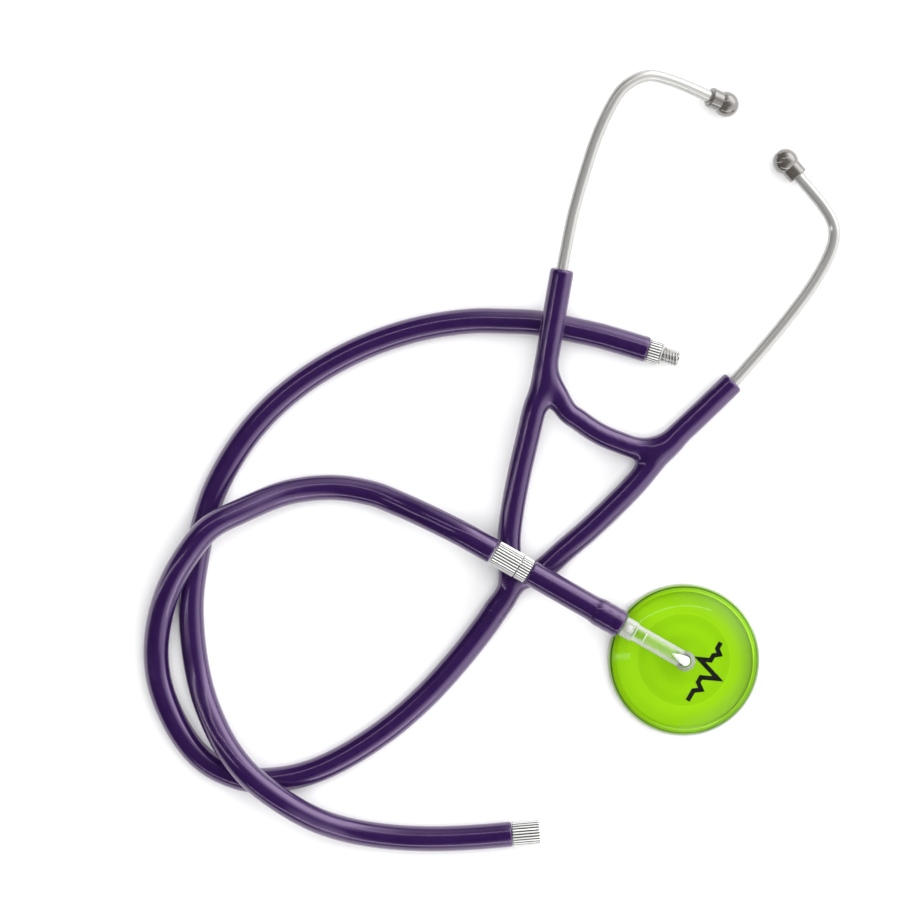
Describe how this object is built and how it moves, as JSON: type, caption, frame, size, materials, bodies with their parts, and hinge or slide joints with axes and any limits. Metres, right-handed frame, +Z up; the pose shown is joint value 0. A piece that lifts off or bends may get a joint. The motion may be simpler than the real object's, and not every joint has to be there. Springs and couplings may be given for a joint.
{
  "type": "stethoscope",
  "caption": "Stethoscope with a sprung Y headset, bent metal ear tubes, a hose with threaded unions, a round clear-topped chestpiece and a loose extension hose.",
  "frame": {"origin": "middle of the diaphragm's face, where the chestpiece rests on the table", "axes": "+Z up from the table through the chestpiece, +Y from the chestpiece towards the ear tips, +X to the right of the laid-out headset"},
  "size_m": [0.2789, 0.312, 0.0244],
  "materials": {
    "purple_hose": "glossy moulded PVC",
    "chrome": "bright plated",
    "spring_steel": "rolled strip",
    "soft_grey": "glossy smoky silicone",
    "black_seal": "matt",
    "clear_acrylic": "polished clear",
    "green_print": "printed under the clear top",
    "bell_plastic": "moulded",
    "diaphragm_film": "satin sheet"
  },
  "bodies": {
    "root": {"yoke": "purple_hose", "leaf_spring": "spring_steel", "main_tube": "purple_hose", "main_socket": "chrome", "extension_tube": "purple_hose", "extension_plug": "chrome", "extension_seal": "black_seal", "extension_socket": "chrome"},
    "left_arm": {"left_arm": "purple_hose"},
    "right_arm": {"right_arm": "purple_hose"},
    "left_ear_tube": {"left_ear_tube": "chrome"},
    "right_ear_tube": {"right_ear_tube": "chrome"},
    "left_ear_tip": {"left_ear_tip": "soft_grey"},
    "right_ear_tip": {"right_ear_tip": "soft_grey"},
    "union_seal": {"union_seal": "black_seal"},
    "chest_lead": {"chest_plug": "chrome", "chest_tube": "purple_hose"},
    "chestpiece": {"stem": "clear_acrylic", "head_lens": "clear_acrylic", "print_disc": "green_print", "bell_insert": "bell_plastic", "diaphragm": "diaphragm_film", "retaining_ring": "clear_acrylic"}
  },
  "joints": [
    {"name": "left_arm_spread", "type": "hinge", "parent": "root", "child": "left_arm", "pos_m": [-0.0568, 0.11, 0.01386], "axis": [0.1069, -0.1173, 0.9873], "range_deg": [-3, 25], "stiffness_Nm_per_rad": 0.8},
    {"name": "left_ear_tube_turn", "type": "hinge", "parent": "left_arm", "child": "left_ear_tube", "pos_m": [-0.0489, 0.156, 0.01846], "axis": [0.1684, 0.9808, 0.0983], "range_deg": [-30, 30]},
    {"name": "left_ear_tip_pull", "type": "slide", "parent": "left_ear_tube", "child": "left_ear_tip", "axis": [0.8595, -0.3601, -0.3627], "range_m": [0, 0.007]},
    {"name": "right_arm_spread", "type": "hinge", "parent": "root", "child": "right_arm", "pos_m": [-0.0068, 0.0856, 0.00554], "axis": [-0.1069, 0.1173, -0.9873], "range_deg": [-3, 25], "stiffness_Nm_per_rad": 0.8},
    {"name": "right_ear_tube_turn", "type": "hinge", "parent": "right_arm", "child": "right_ear_tube", "pos_m": [0.0199, 0.1114, 0.00572], "axis": [0.7191, 0.6949, 0.0047], "range_deg": [-30, 30]},
    {"name": "right_ear_tip_pull", "type": "slide", "parent": "right_ear_tube", "child": "right_ear_tip", "axis": [-0.6575, 0.7534, -0.0096], "range_m": [0, 0.007]},
    {"name": "union_travel", "type": "slide", "parent": "root", "child": "union_seal", "axis": [0.8686, -0.4956, 0], "range_m": [0, 0.006]},
    {"name": "union_turn", "type": "hinge", "parent": "union_seal", "child": "chest_lead", "pos_m": [-0.0661, 0.03771, 0.0176], "axis": [0.8686, -0.4956, 0], "range_deg": [0, 360]},
    {"name": "chestpiece_turn", "type": "hinge", "parent": "chest_lead", "child": "chestpiece", "pos_m": [0, 0, 0.0176], "axis": [0.8686, -0.4956, 0], "range_deg": [-180, 180]}
  ],
  "couplings": [
    {"joint": "union_turn", "follows": "union_travel", "rad_per_m": 1047.2}
  ]
}
